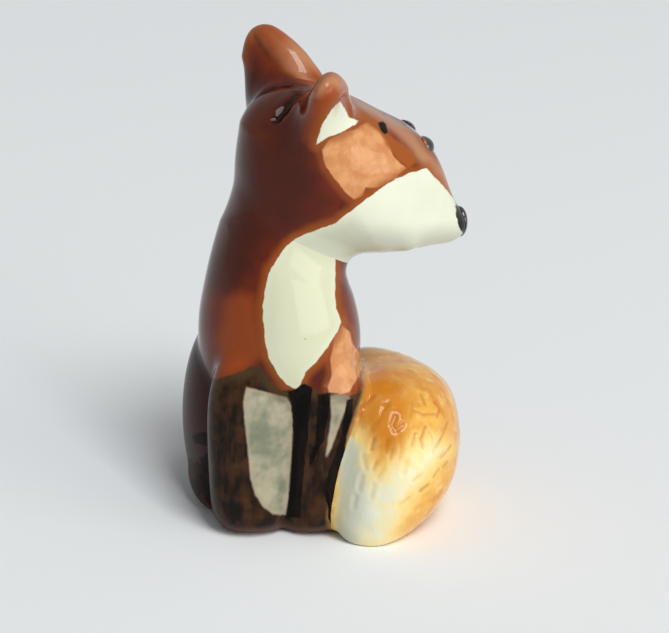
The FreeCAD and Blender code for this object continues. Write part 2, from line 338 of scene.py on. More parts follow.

# %% [markdown]
# A needle was used while the clay was soft: for the fur of the tail, and for the fold behind
# each ear. A scratch is a groove with a low burr on each side, and the glaze pools in it. A
# bump map would shine right but leave the outline smooth, so the grooves are pressed into the
# skin itself. The strokes that the picture shows are drawn on it, and the hidden side
# of the tail is filled with strokes of the same kind, placed by chance. The chin's small
# swelling is pushed up in the same pass.

# %% Needle strokes
NEEDLE_STROKES = (
    ((415, 408), (425, 411), (441, 412)), ((437, 399), (443, 407), (441, 416)),
    ((423, 391), (427, 401)), ((413, 399), (412, 418)), ((386, 399), (380, 414), (368, 428)),
    ((397, 414), (393, 422), (399, 430), (405, 422)), ((403, 434), (405, 450), (401, 462)),
    ((451, 422), (443, 442), (437, 452)), ((455, 446), (445, 458)), ((374, 462), (370, 470)),
    ((360, 454), (363, 470)), ((372, 488), (370, 500)), ((403, 505), (413, 499)),
    ((417, 480), (425, 476)), ((437, 478), (443, 470)), ((385, 406), (390, 399)),
    ((358, 478), (356, 490)), ((372, 437), (368, 449)), ((388, 436), (384, 450)),
    ((428, 424), (424, 438), (427, 446)), ((447, 392), (452, 404)), ((362, 412), (358, 426)),
    ((419, 432), (415, 446)), ((433, 430), (437, 440)), ((381, 470), (377, 480)),
    ((352, 498), (352, 511)), ((411, 462), (407, 474)), ((424, 491), (432, 486)),
    ((447, 468), (452, 462)), ((396, 449), (392, 461)), ((372, 392), (366, 402)),
    ((445, 432), (450, 425)), ((448, 448), (441, 460)), ((455, 410), (457, 420)),
)
FOLD_STROKES = (
    (1.0, ((276, 115), (281, 107))), (0.8, ((281, 107), (288, 99))),
    (0.5, ((288, 99), (298, 91))), (0.3, ((298, 91), (311, 83))),
)
HIDDEN_STROKES = 80
HEAD_LOW = 24
CHIN = (414, 245)
CHIN_RISE = 0.45
CHIN_RADIUS = 1.1
skin_points = points_of(skin)
skin_normals = normals_of(skin)
grooves = np.zeros(len(skin_points))


def scratch(chosen, strokes, depth, half_width, burr):
    """Presses strokes, each a force and some points, into the chosen points of the skin."""
    points = skin_points[chosen]
    groove = np.zeros(len(chosen))
    ridge = np.zeros(len(chosen))
    for force, stroke in strokes:
        for start, end in zip(stroke[:-1], stroke[1:]):
            side = end - start
            along = np.clip((points - start) @ side / (side @ side + 1e-18), 0, 1)
            off = np.linalg.norm(points - start - along[:, None] * side, axis=1) / MM
            off /= half_width
            groove = np.maximum(groove, force * np.exp(-(off ** 2)))
            ridge = np.maximum(ridge, force * np.exp(-(((off - 2.1) / 0.8) ** 2)))
    press = (burr * ridge * (1 - groove) - depth * groove) * MM
    skin_points[chosen] += skin_normals[chosen] * press[:, None]
    grooves[chosen] = np.maximum(grooves[chosen], groove)


towards = skin_normals[on_tail] @ np.array(view_back)
tail_seen = skin_points[on_tail[towards > 0.1]]
chance = np.random.default_rng(7)
strokes = []
for stroke in NEEDLE_STROKES:
    strokes.append((chance.uniform(0.5, 1.0), [seen_at(tail_seen, place) for place in stroke]))
unseen = on_tail[(towards < 0.1) & (skin_points[on_tail, 2] > 1.2 * MM)]
for start in chance.choice(unseen, HIDDEN_STROKES, replace=False):
    fall = np.array([chance.normal(0, 0.5), chance.normal(0, 0.5), -1.0])
    fall -= skin_normals[start] * (fall @ skin_normals[start])
    fall /= np.linalg.norm(fall)
    middle = skin_points[start] + fall * chance.uniform(0.5, 1.1) * MM
    bend = np.cross(fall, skin_normals[start]) * chance.normal(0, 0.3) * MM
    stroke = [skin_points[start], middle + bend, 2 * middle - skin_points[start]]
    strokes.append((chance.uniform(0.5, 1.0), stroke))
scratch(on_tail, strokes, depth=0.10, half_width=0.2, burr=0.04)
print(f"{len(strokes)} strokes over {len(on_tail)} points of the tail")

on_head = np.where(skin_points[:, 2] > HEAD_LOW * MM)[0]
head_seen = skin_points[on_head[skin_normals[on_head] @ np.array(view_back) > 0.1]]
folds = []
for force, stroke in FOLD_STROKES:
    line = np.array([seen_at(head_seen, place) for place in stroke])
    folds += [(force, line), (force, mirrored(line))]
scratch(on_head, folds, depth=0.32, half_width=0.42, burr=0.05)
chin = seen_at(head_seen, CHIN)
from_chin = np.linalg.norm(skin_points[on_head] - chin, axis=1) / MM
swelling = CHIN_RISE * MM * np.exp(-((from_chin / CHIN_RADIUS) ** 2))
skin_points[on_head] += skin_normals[on_head] * swelling[:, None]
move_points(skin, skin_points)
relaxed(skin, 1)
print(f"{len(folds)} fold strokes behind the ears")

# %% [markdown]
# Back into pieces. Each node of the CAD model gets its own piece of the skin, so that it can
# be lifted out, repainted or printed by itself. The knife is the swollen node, remeshed, and a
# Boolean gives what is inside it and what is left. The torso is what is left at the end. A
# knife can leave slivers of two faces back to back, and these are thrown away.

# %% Cut the skin into pieces
CUT_ORDER = (
    "tail", "ear_left", "ear_right", "head", "foreleg_left", "foreleg_right",
    "hind_paw_left", "hind_paw_right", "haunch_left", "haunch_right",
)
KNIFE_SWELL = 0.4
HEAD_SWELL = 0.9
KNIFE_CELL = 0.25


def without_slivers(mesh):
    """A cut mesh without the loose slivers of two faces that a knife can leave."""
    whole = bmesh.new()
    whole.from_mesh(mesh)
    slivers = [f for f in whole.faces if all(len(v.link_faces) == 2 for v in f.verts)]
    corners = list({vert for face in slivers for vert in face.verts})
    bmesh.ops.delete(whole, geom=corners, context="VERTS")
    whole.to_mesh(mesh)
    whole.free()
    return mesh


piece_meshes = {}
rest = skin
for name in CUT_ORDER:
    shape = clay([name], KNIFE_SWELL)
    if name == "head":
        shape = clay(["head", "ear_left", "ear_right"], HEAD_SWELL)
    blade = shaped(shape, "REMESH", mode="VOXEL", voxel_size=KNIFE_CELL * MM)
    knife = bpy.data.objects.new("knife", relaxed(blade, 2))
    bpy.context.scene.collection.objects.link(knife)
    bpy.context.view_layer.update()
    cut = {"object": knife, "solver": "MANIFOLD"}
    piece_meshes[name] = without_slivers(shaped(rest, "BOOLEAN", operation="INTERSECT", **cut))
    rest = shaped(rest, "BOOLEAN", operation="DIFFERENCE", **cut)
    bpy.data.objects.remove(knife)
piece_meshes["torso"] = without_slivers(rest)
print({name: len(mesh.polygons) for name, mesh in piece_meshes.items()})

# %% [markdown]
# Light on a seam. Where two pieces meet, each would bend its shading towards its own hidden
# cut face, and the glossy glaze would show a line. So every point on the outside takes the
# direction that the whole skin has there.

# %% Shading from the whole skin
skin_points = points_of(skin)
skin_normals = normals_of(skin)
skin_tree = BVHTree.FromPolygons(
    [tuple(p) for p in skin_points], [tuple(f.vertices) for f in skin.polygons]
)
skin_corners = KDTree(len(skin_points))
for index, point in enumerate(skin_points):
    skin_corners.insert(point, index)
skin_corners.balance()
ON_SKIN = 0.0005 * MM
NEAR_SKIN = 0.02 * MM


def skin_reading(points, fallback):
    """The skin's direction at each point, and the skin's corner that is nearest to it."""
    directions = fallback.copy()
    corners_near = np.zeros(len(points), int)
    for i, point in enumerate(points):
        _, corner, away = skin_corners.find(point)
        corners_near[i] = corner
        if away < ON_SKIN:
            directions[i] = skin_normals[corner]
            continue
        spot, _, face, gap = skin_tree.find_nearest(Vector(point))
        if gap < NEAR_SKIN:
            corners = skin.polygons[face].vertices
            shares = poly_3d_calc([Vector(skin_points[c]) for c in corners], spot)
            blend = sum(np.array(skin_normals[c]) * s for c, s in zip(corners, shares))
            directions[i] = blend / (np.linalg.norm(blend) + 1e-12)
    return directions, corners_near


# %% [markdown]
# The outlines of the paint and of the painted light and shade, drawn on the picture, in pixels
# across and down. A mask holds how far each point of the surface is from the paint's edge, in
# millimetres and less than nothing inside, so the shader can soften or roughen that edge at any
# size. The head is the same on both sides, so its far side is read where its mirror point is seen.

# %% Outlines
WHITE_FACE = (
    (300, 272), (283, 256), (287, 246), (296, 239), (304, 235), (316, 230), (336, 223),
    (342, 218), (356, 208), (368, 198), (381, 188), (391, 182), (397, 178), (413, 172),
    (427, 168), (433, 176), (443, 186), (455, 200), (458, 212), (480, 224), (480, 270),
    (400, 275),
)
WHITE_BIB = (
    (340, 222), (304, 235), (296, 239), (287, 246), (277, 259), (269, 273), (265, 290),
    (263, 305), (263, 320), (265, 339), (269, 359), (277, 373), (287, 385), (295, 389),
    (299, 387), (306, 371), (316, 363), (328, 347), (334, 337), (338, 331), (341, 322),
    (336, 308), (335, 290), (335, 270), (336, 250), (350, 240), (352, 222),
)
WHITE_EAR = (
    (340, 101), (345, 109), (349, 117), (358, 121), (355, 125), (347, 129), (340, 133),
    (328, 137), (316, 145), (318, 137), (324, 121), (332, 109),
)
STOCKINGS = (
    (190, 376), (207, 377), (217, 379), (235, 374), (246, 370), (251, 365), (261, 367),
    (269, 379), (281, 391), (289, 389), (295, 391), (299, 386), (306, 385), (313, 391),
    (329, 393), (345, 395), (362, 398), (370, 560), (180, 560),
)
GROOVE_STROKE = (
    (287, 391), (296, 389), (304, 384), (312, 388), (311, 402), (308, 425), (306, 450),
    (303, 480), (300, 518), (286, 518), (291, 480), (293, 450), (293, 420), (289, 398),
)
MIDDLE_STROKE = (
    (317, 394), (330, 394), (329, 410), (326, 424), (324, 440), (318, 452), (309, 468),
    (310, 458), (316, 440), (317, 420),
)
TAIL_STROKE = (
    (346, 400), (353, 398), (353, 414), (348, 432), (345, 446), (343, 462), (342, 478),
    (341, 500), (340, 527), (329, 524), (327, 504), (322, 488), (329, 470), (336, 452),
    (341, 436), (344, 420),
)
WHITE_TAIL = (
    (343, 444), (348, 434), (355, 438), (361, 450), (365, 463), (372, 476), (379, 481),
    (391, 472), (405, 461), (420, 451), (434, 444), (441, 450), (431, 463), (419, 476),
    (411, 488), (404, 500), (398, 512), (393, 524), (390, 538), (380, 552), (352, 552),
    (336, 540), (338, 500), (340, 470),
)
AMBER_TAIL = (
    (348, 404), (360, 384), (382, 366), (402, 372), (413, 394), (411, 425), (405, 455),
    (396, 466), (385, 464), (374, 450), (364, 436), (352, 424),
)
TOE_UPPER = ((193, 436), (200, 432), (213, 433), (213, 443), (204, 445), (196, 443))
TOE_LOWER = (
    (200, 458), (208, 452), (215, 454), (217, 466), (216, 476), (207, 474), (201, 466),
)
FACE_DOT = ((379, 123), (383, 120), (386, 124), (388, 131), (385, 134), (381, 130))
NOSE_SIDE = ((455, 205), (460, 206), (470, 216), (470, 234), (463, 236), (458, 226), (456, 214))
# The shaded back of the head and the neck, darkened as painted shade.
SHADED_HEAD = (
    (215, 110), (262, 92), (290, 96), (298, 116), (300, 140), (306, 160), (322, 182),
    (336, 204), (318, 222), (288, 232), (262, 250), (236, 290), (190, 300), (200, 230),
)
# The near ear's lit outer face, painted a lighter orange as painted light.
NEAR_EAR_LIT_SIDE = (
    (316, 66), (328, 60), (340, 68), (350, 88), (354, 104), (349, 114), (341, 98),
    (330, 106), (322, 122), (314, 146), (305, 138), (307, 116), (313, 90),
)
# Painted reflections of the window in the glaze: the salmon patch on the cheek.
CHEEK_REFLECTION = (
    (321, 150), (328, 140), (342, 133), (358, 127), (368, 121), (378, 129), (388, 140),
    (394, 156), (407, 168), (395, 179), (376, 189), (366, 188), (362, 196), (354, 200),
    (346, 194), (338, 184), (326, 168),
)
# A painted reflection of the window on the shoulder.
SHOULDER_REFLECTION = (
    (334, 337), (342, 324), (350, 331), (354, 345), (364, 357), (363, 369), (354, 385),
    (350, 393), (330, 397), (328, 387), (332, 373), (330, 359), (332, 347),
)
AMBER_BROW = (
    (352, 105), (360, 108), (371, 116), (381, 124), (388, 134), (400, 141), (413, 152),
    (418, 163), (408, 167), (397, 160), (389, 148), (378, 131), (362, 121), (353, 114),
)
# A painted reflection along the bridge of the nose.
BRIDGE_REFLECTION = (
    (345, 92), (360, 99), (380, 109), (400, 123), (415, 134), (424, 148), (436, 160),
    (446, 172), (456, 190), (466, 207), (456, 210), (446, 196), (436, 183), (424, 168),
    (416, 158), (408, 146), (396, 134), (380, 122), (360, 110),
)
# A painted highlight on the ear's tip.
EAR_TIP_HIGHLIGHT = (
    (315, 96), (317, 86), (324, 77), (333, 73), (341, 77), (344, 85), (340, 90), (333, 86),
    (326, 89), (320, 97),
)
TAIL_SHADE = (
    (338, 436), (352, 432), (358, 446), (364, 470), (364, 500), (356, 530), (350, 552), (330, 552),
    (330, 480),
)
MUZZLE_SHADE = (
    (296, 240), (330, 231), (352, 226), (376, 231), (400, 234), (424, 233), (446, 230),
    (466, 228), (470, 250), (400, 262), (330, 262), (300, 256),
)
ORANGE_FLANK = (
    (226, 300), (240, 292), (254, 296), (258, 330), (264, 356), (252, 366), (234, 374),
    (222, 373), (217, 340),
)
# Painted reflections of the window on the fronts of the forelegs.
RIGHT_LEG_REFLECTION = (
    (246, 387), (255, 389), (287, 397), (293, 406), (294, 422), (292, 448), (290, 478),
    (289, 497), (286, 515), (273, 515), (263, 507), (255, 495), (250, 478), (247, 448),
    (244, 418), (243, 403),
)
LEFT_LEG_REFLECTION = (
    (330, 396), (348, 392), (351, 399), (344, 414), (338, 430), (332, 448), (327, 458),
    (325, 456), (328, 438), (331, 418),
)
PIXEL = DISTANCE / FOCAL_PIXELS


def outline_distance(places, outline):
    """Millimetres from an outline's edge, less than nothing inside it."""
    corners = np.array(outline, float)
    following = np.roll(corners, -1, 0)
    nearest = np.full(len(places), 1e9)
    inside = np.zeros(len(places), bool)
    for start, end in zip(corners, following):
        side = end - start
        along = np.clip((places - start) @ side / (side @ side), 0, 1)
        reach = np.linalg.norm(places - start - along[:, None] * side, axis=1)
        nearest = np.minimum(nearest, reach)
        crosses = (start[1] > places[:, 1]) != (end[1] > places[:, 1])
        rise = np.where(crosses, side[1], 1.0)
        cut = start[0] + (places[:, 1] - start[1]) * side[0] / rise
        inside ^= crosses & (places[:, 0] < cut)
    return np.where(inside, -nearest, nearest) * PIXEL


def nearer_half(points):
    """Points of the head, with those on its far side mirrored to the side that shows."""
    side = (points - np.array(HEAD_BASE)) @ HEAD_SIDE
    return points - 2 * np.maximum(side, 0)[:, None] * HEAD_SIDE


# %% [markdown]
# Each piece gets the masks that its paint needs. The outlines go right through the fox, so the
# paint of the chest and the legs is kept to the front by how far back a point lies. The
# stockings go round the legs at one height. The left haunch stays russet like the back.

# %% Masks on a piece
HEAD_PIECES = ("head", "ear_left", "ear_right")
LEG_PIECES = ("foreleg_left", "foreleg_right")
PAW_PIECES = ("hind_paw_left", "hind_paw_right")


def masks_for(name, points):
    """Every mask on a piece: millimetres to each paint's edge."""
    own = on_picture(points)
    far = np.full(len(points), FAR)
    white, dark, black, light, amber, leg_reflection = far, far, far, far, far, far
    paired = on_picture(nearer_half(points))
    bib, bridge, lit_ear_flank_and_fur_core, shade = far, far, far, outline_distance(paired, SHADED_HEAD)
    under = outline_distance(paired, MUZZLE_SHADE) if name == "head" else far
    behind = points[:, 1] / MM
    height = points[:, 2] / MM
    if name in HEAD_PIECES:
        white = outline_distance(paired, WHITE_FACE)
        # light holds the cheek's painted reflection.
        light = outline_distance(paired, CHEEK_REFLECTION)
        amber = outline_distance(paired, AMBER_BROW)
        # bridge holds the painted reflection on the bridge of the nose, and on the ears the
        # painted highlight of the tip.
        bridge = outline_distance(paired, BRIDGE_REFLECTION)
        if name != "head":
            bridge = np.minimum(bridge, outline_distance(paired, EAR_TIP_HIGHLIGHT))
        # On the head pieces the lit side of the near ear is painted light.
        lit_ear_flank_and_fur_core = outline_distance(paired, NEAR_EAR_LIT_SIDE)
        if name == "head":
            black = outline_distance(paired, FACE_DOT)
            black = np.minimum(black, outline_distance(own, NOSE_SIDE))
        white = np.minimum(white, outline_distance(paired, WHITE_EAR))
    if name in LEG_PIECES + ("torso", "head"):
        bib = np.maximum(outline_distance(own, WHITE_BIB), behind + 1.5)
        white = np.minimum(white, bib)
    if name in LEG_PIECES + ("torso",):
        dark = np.maximum(outline_distance(own, STOCKINGS), behind + 1.0)
        for stroke in (GROOVE_STROKE, MIDDLE_STROKE, TAIL_STROKE):
            stroke_edge = np.maximum(outline_distance(own, stroke), behind + 4.0)
            black = np.minimum(black, stroke_edge)
        # light holds the shoulder's painted reflection.
        light = np.maximum(outline_distance(own, SHOULDER_REFLECTION), behind + 2.0)
        lit_ear_flank_and_fur_core = np.maximum(outline_distance(own, ORANGE_FLANK), behind - 1.0)
        # The painted reflections on the fronts of the legs.
        for patch in (RIGHT_LEG_REFLECTION, LEFT_LEG_REFLECTION):
            leg_reflection = np.minimum(leg_reflection, np.maximum(outline_distance(own, patch), behind + 4.0))
    if name in LEG_PIECES:
        dark = np.minimum(dark, height - 13.0)
    if name in PAW_PIECES:
        dark = height - 6.0
    if name in PAW_PIECES + ("haunch_right",):
        for toe in (TOE_UPPER, TOE_LOWER):
            black = np.minimum(black, np.maximum(outline_distance(own, toe), behind))
    if name == "tail":
        white = np.maximum(outline_distance(own, WHITE_TAIL), behind + 2.0)
        lit_ear_flank_and_fur_core = outline_distance(own, AMBER_TAIL)
        under = outline_distance(own, TAIL_SHADE)
    deep = far
    if name == "torso":
        deep = away_from("haunch_right", points)
    if name in PAW_PIECES + ("haunch_right",):
        deep = np.zeros(len(points))
    return {
        "height": height, "white": white, "dark": dark, "black": black, "light": light,
        "amber": amber, "leg_reflection": leg_reflection, "deep": deep, "bib": bib, "bridge": bridge,
        "lit_ear_flank_and_fur_core": lit_ear_flank_and_fur_core, "shade": shade, "under": under,
    }


# %% [markdown]
# Making the pieces. Each takes its masks as attributes and its shading from the whole skin. The
# slots of those that aren't russet are listed in SLOTS, and the glazes are given further down.

# %% Pieces
SLOTS = {"tail": "amber_glaze"}
SLOTS.update({name: "dark_glaze" for name in LEG_PIECES + PAW_PIECES})
pieces = {}
for name, mesh in piece_meshes.items():
    mesh.name = name + "_glazed"
    points = points_of(mesh)
    directions, corners_near = skin_reading(points, normals_of(mesh))
    masks = masks_for(name, points)
    masks["pool"] = pooled[corners_near]
    masks["groove"] = grooves[corners_near]
    masks["tail"] = fur_reach[corners_near]
    for label, values in masks.items():
        layer = mesh.attributes.new("paint_" + label, "FLOAT", "POINT")
        layer.data.foreach_set("value", values.astype(np.float32))
    mesh.polygons.foreach_set("use_smooth", np.ones(len(mesh.polygons), bool))
    mesh.normals_split_custom_set_from_vertices([tuple(d) for d in directions])
    piece = bpy.data.objects.new(name + "_glazed", mesh)
    bpy.context.scene.collection.objects.link(piece)
    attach(piece, "root")
    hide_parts(name)
    pieces[name] = piece
print("pieces made:", ", ".join(sorted(pieces)))

# %% [markdown]
# A small language for finishes. One class wraps a socket, so that maths on masks is written as
# ordinary arithmetic, and one method adds any other node.


# %% Finish tools
class Amount:
    """A number that changes over the surface."""

    def __init__(self, finish, socket):
        self.finish = finish
        self.socket = socket

    def maths(self, operation, *others):
        values = {0: self}
        values.update({i + 1: other for i, other in enumerate(others)})
        return self.finish.node("ShaderNodeMath", {"operation": operation}, values).out("Value")

    def __add__(self, other):
        return self.maths("ADD", other)

    def __mul__(self, other):
        return self.maths("MULTIPLY", other)

    def __sub__(self, other):
        return self.maths("SUBTRACT", other)

    def __rsub__(self, other):
        return (self * -1.0) + other

    __radd__ = __add__
    __rmul__ = __mul__

    def least(self, other):
        return self.maths("MINIMUM", other)

    def between(self, start, end):
        """0 at start, 1 at end and a smooth rise from one to the other."""
        settings = {"interpolation_type": "SMOOTHSTEP"}
        values = {"Value": self, "From Min": start, "From Max": end}
        if start > end:
            values = {"Value": self, "From Min": end, "From Max": start}
            return 1.0 - self.finish.node("ShaderNodeMapRange", settings, values).out("Result")
        return self.finish.node("ShaderNodeMapRange", settings, values).out("Result")


class Added:
    """A node that was added to a finish."""

    def __init__(self, finish, node):
        self.finish = finish
        self.node = node

    def out(self, name):
        return Amount(self.finish, self.node.outputs[name])


class Finish:
    """A material and the nodes that it is made of."""

    def __init__(self, name):
        self.material = bpy.data.materials.new(name)
        self.material.use_nodes = True
        self.tree = self.material.node_tree
        self.shader = self.tree.nodes["Principled BSDF"]

    def node(self, kind, settings=None, values=None):
        added = self.tree.nodes.new(kind)
        for name, value in (settings or {}).items():
            setattr(added, name, value)
        for name, value in (values or {}).items():
            self.feed(added.inputs[name], value)
        return Added(self, added)

    def feed(self, socket, value):
        if isinstance(value, Amount):
            self.tree.links.new(value.socket, socket)
        else:
            socket.default_value = value

    def mask(self, label):
        return self.node("ShaderNodeAttribute", {"attribute_name": "paint_" + label}).out("Fac")

    def place(self):
        return self.node("ShaderNodeTexCoord").out("Object")

    def noise(self, size, detail=2.0, roughness=0.5, place=None):
        values = {
            "Vector": place or self.place(), "Scale": 1 / (size * MM), "Detail": detail,
            "Roughness": roughness,
        }
        return self.node("ShaderNodeTexNoise", {}, values).out("Fac")

    def specks(self, spacing, radius):
        """1 in small dots, one to a cell of the given spacing."""
        values = {"Vector": self.place(), "Scale": 1 / (spacing * MM)}
        dots = self.node("ShaderNodeTexVoronoi", {"feature": "F1"}, values).out("Distance")
        return dots.between(radius / spacing, 0.5 * radius / spacing)

    def mixed(self, share, first, second):
        """One colour over another, by a share."""
        values = {0: share, 6: first, 7: second}
        added = self.node("ShaderNodeMix", {"data_type": "RGBA"}, values)
        return Amount(self, added.node.outputs[2])


def colour(red, green, blue):
    """A colour as a paint chart gives it, 0 to 255, for a socket that wants linear light."""
    def linear(value):
        value /= 255
        return value / 12.92 if value <= 0.04045 else ((value + 0.055) / 1.055) ** 2.4

    return (linear(red), linear(green), linear(blue), 1.0)


# %% [markdown]
# The paints under the glaze, as a chart gives them. Most are stains, named for where they lie or
# how thick they are. The salmon, the patch rim and the bridge are painted reflections, the grey
# and buff on the legs are painted reflections of the window, the orange is partly painted light on
# the near ear, the stocking foot is partly a painted reflection of the floor, and the nape and
# slip shades are painted shade.

# %% Paints
PAINTS = {
    "russet": (76, 21, 6), "light russet": (114, 38, 9), "dragged russet": (60, 18, 6),
    "thin russet": (160, 76, 26), "pooled russet": (50, 18, 10), "haunch brown": (48, 24, 18),
    "painted nape shade": (66, 22, 10), "fold brown": (36, 14, 9), "orange": (160, 70, 18),
    "patch rim": (150, 74, 26), "salmon": (206, 138, 86), "light salmon": (222, 160, 106),
    "bridge": (190, 134, 96), "brow amber": (160, 84, 26), "halo amber": (156, 80, 24),
    "stocking": (20, 11, 6), "brown stocking": (62, 36, 16), "stocking blotch": (84, 52, 28),
    "worn grey": (124, 128, 106), "worn buff": (176, 168, 142), "worn rim": (180, 160, 136),
    "stocking top": (84, 62, 34), "stocking foot": (92, 56, 42),
    "fur": (222, 152, 52), "light fur": (240, 184, 88), "brushed fur": (246, 212, 136),
    "fur core": (204, 124, 28), "fur blotch": (202, 118, 28), "pale fur": (248, 218, 136),
    "fur groove": (176, 100, 26),
    "slip": (224, 228, 204), "light slip": (234, 236, 216), "slip groove": (206, 160, 84),
    "bib slip": (212, 214, 184), "warm slip": (244, 226, 166), "slip shade": (192, 195, 176),
    "pooled slip": (178, 170, 140), "speck": (92, 84, 66),
    "ink": (8, 6, 4), "thin ink": (30, 20, 14),
    "enamel": (12, 12, 12), "thin enamel": (30, 26, 24), "russet run": (140, 70, 26),
    "paper": (250, 252, 252),
}


def paint(name):
    """A paint of the chart, for a socket."""
    return colour(*PAINTS[name])


# %% [markdown]
# Brushwork. All the stains were laid by one hand and lie under one glaze, so they share the
# wobble of their edges, the drag of the brush, and the places where the glaze is thick.

# %% Brushwork
DRAG_STRETCH = 0.22


class Glaze(Finish):
    """A finish with the brushwork and the depth of glaze that its stains share."""

    def __init__(self, name):
        super().__init__(name)
        self.cloud = self.noise(6.0, 3.0)
        self.brush = self.noise(1.3, 3.0, 0.6)
        self.blotch = self.noise(1.7, 2.0)
        dragged = self.node("ShaderNodeMapping", {}, {
            "Vector": self.place(), "Scale": (1.0, 1.0, DRAG_STRETCH),
        }).out("Vector")
        self.drag = self.noise(0.9, 3.0, 0.6, place=dragged)
        self.wobble = (self.brush - 0.5) * 0.4
        self.pool = self.mask("pool")
        self.groove = self.mask("groove")
        self.thick = (self.pool + (self.brush - 0.5) * 0.04).between(0.03, 0.12)
        self.on_tail = self.mask("tail").between(-1.0, -2.0)
        self.in_deep = self.within("deep", 0.9, 0.1)
        self.in_dark = self.within("dark", 0.12, -0.12)
        self.in_black = self.within("black", 0.08, -0.08, 1.4)
        self.in_leg_reflection = self.within("leg_reflection", 0.1, -0.15, 0.7)

    def within(self, label, start, end, unsteady=1.0):
        """0 at one distance from a paint's edge and 1 at another, by an unsteady hand."""
        return (self.mask(label) + self.wobble * unsteady).between(start, end)

    def two_tone(self, share, first, second):
        """One paint that shifts to another by a share."""
        return self.mixed(share, paint(first), paint(second))

    def over(self, ground, share, name):
        """A paint laid over what is there, by a share."""
        return self.mixed(share, ground, paint(name))


# %% [markdown]
# The stains, and the light and shade that are painted with them. Russet is dark where the glaze
# pools and orange where it runs thin. The stocking is nearly black, with paler patches on the
# fronts of the legs that are painted reflections of the window. The fur is amber round a darker
# core and pales towards the white. The white is bare slip.

# %% Stains
def russet_stain(glaze):
    """The body's russet, with painted reflections on the cheek, shoulder, bridge and ear tip,
    painted light on the near ear and painted shade on the nape.
    """
    ground = glaze.two_tone(glaze.cloud.between(0.35, 0.65), "russet", "light russet")
    ground = glaze.over(ground, glaze.drag.between(0.5, 0.75) * 0.3, "dragged russet")
    thin = (glaze.pool * -1.0 + (glaze.brush - 0.5) * 0.04).between(0.03, 0.10)
    ground = glaze.over(ground, thin * 0.5, "thin russet")
    ground = glaze.over(ground, glaze.thick * 0.6, "pooled russet")
    ground = glaze.over(ground, glaze.in_deep * 0.9, "haunch brown")
    # Painted reflections of the window: a darker rim, then the salmon patches on the cheek and the
    # shoulder.
    ground = glaze.over(ground, glaze.within("light", 0.9, 0.2) * 0.6, "patch rim")
    salmon = glaze.two_tone(glaze.brush.between(0.35, 0.65), "salmon", "light salmon")
    ground = glaze.mixed(glaze.within("light", 0.05, -0.15) * 0.95, ground, salmon)
    # Painted shade on the back of the head and the neck, mirrored onto the far side.
    ground = glaze.over(ground, glaze.within("shade", 1.2, -1.2) * 0.75, "painted nape shade")
    # Brighter orange on the right flank, and painted light on the near ear's lit outer face.
    ground = glaze.over(ground, glaze.within("lit_ear_flank_and_fur_core", 0.8, -0.8) * 0.8, "orange")
    # A painted reflection on the bridge of the nose, and a painted highlight on the ear's tip.
    ground = glaze.over(ground, glaze.within("bridge", 0.5, -0.5) * 0.85, "bridge")
    ground = glaze.over(ground, glaze.within("amber", 0.15, -0.2) * 0.9, "brow amber")
    ground = glaze.over(ground, glaze.within("white", 1.0, 0.1) * 0.75, "halo amber")
    return glaze.over(ground, glaze.groove.between(0.05, 0.5) * 0.85, "fold brown")


def stocking_stain(glaze):
    """The dark of the legs, with painted reflections of the window on their fronts."""
    dark = glaze.two_tone(glaze.drag.between(0.4, 0.68), "stocking", "brown stocking")
    dark = glaze.over(dark, glaze.blotch.between(0.40, 0.75) * 0.6, "stocking blotch")
    # The paler patches on the fronts of the legs are painted reflections of the window: grey to
    # buff, with a pale rim.
    patch = glaze.two_tone(glaze.blotch.between(0.3, 0.7), "worn grey", "worn buff")
    patch = glaze.over(patch, glaze.within("leg_reflection", -0.5, -0.1, 0.7) * 0.6, "worn rim")
    dark = glaze.mixed(glaze.in_leg_reflection, dark, patch)
    dark = glaze.over(dark, glaze.within("dark", -1.3, -0.2) * 0.6, "stocking top")
    # A brownish band at the foot, partly glaze pooled at the base and partly a painted reflection
    # of the floor in the rounded lower edge.
    return glaze.over(dark, glaze.within("height", 1.5, 0.5) * 0.8, "stocking foot")


def fur_stain(glaze):
    """The tail's amber."""
    fur = glaze.two_tone(glaze.cloud.between(0.3, 0.7), "fur", "light fur")
    fur = glaze.over(fur, glaze.brush.between(0.5, 0.75) * 0.6, "brushed fur")
    fur = glaze.over(fur, glaze.within("lit_ear_flank_and_fur_core", 1.0, -1.2, 2.0) * 0.8, "fur core")
    fur = glaze.over(fur, glaze.blotch.between(0.5, 0.7) * 0.5, "fur blotch")
    fur = glaze.over(fur, glaze.within("white", 2.2, 0.2, 4.0) * 0.8, "pale fur")
    return glaze.over(fur, glaze.groove.between(0.1, 1.1) * 0.6, "fur groove")


def white_slip(glaze):
    """The bare slip of the face, the chest and the tail, with a few iron specks."""
    slip = glaze.two_tone(glaze.cloud.between(0.3, 0.7), "slip", "light slip")
    slip = glaze.over(slip, glaze.groove * 0.6, "slip groove")
    slip = glaze.over(slip, glaze.mask("bib").between(1.2, -0.8), "bib slip")
    warm = glaze.brush.between(0.4, 0.7) * 0.5 + glaze.within("white", -2.4, -0.2, 3.0) * 0.5
    slip = glaze.over(slip, glaze.on_tail * warm, "warm slip")
    slip = glaze.over(slip, glaze.within("under", 1.2, -0.8) * 0.8, "slip shade")
    slip = glaze.over(slip, glaze.thick * 0.7, "pooled slip")
    return glaze.over(slip, glaze.specks(4.0, 0.11) * 0.7, "speck")


# %% [markdown]
# The fired glaze. The stains are laid in the order of the brush, and one clear coat lies over
# everything: it is hard, smooth and bright, with a faint waviness, and a little duller on the
# haunch, the stockings and the ink and in the folds. The white has a crisp edge on the body and
# fades into the fur on the tail.

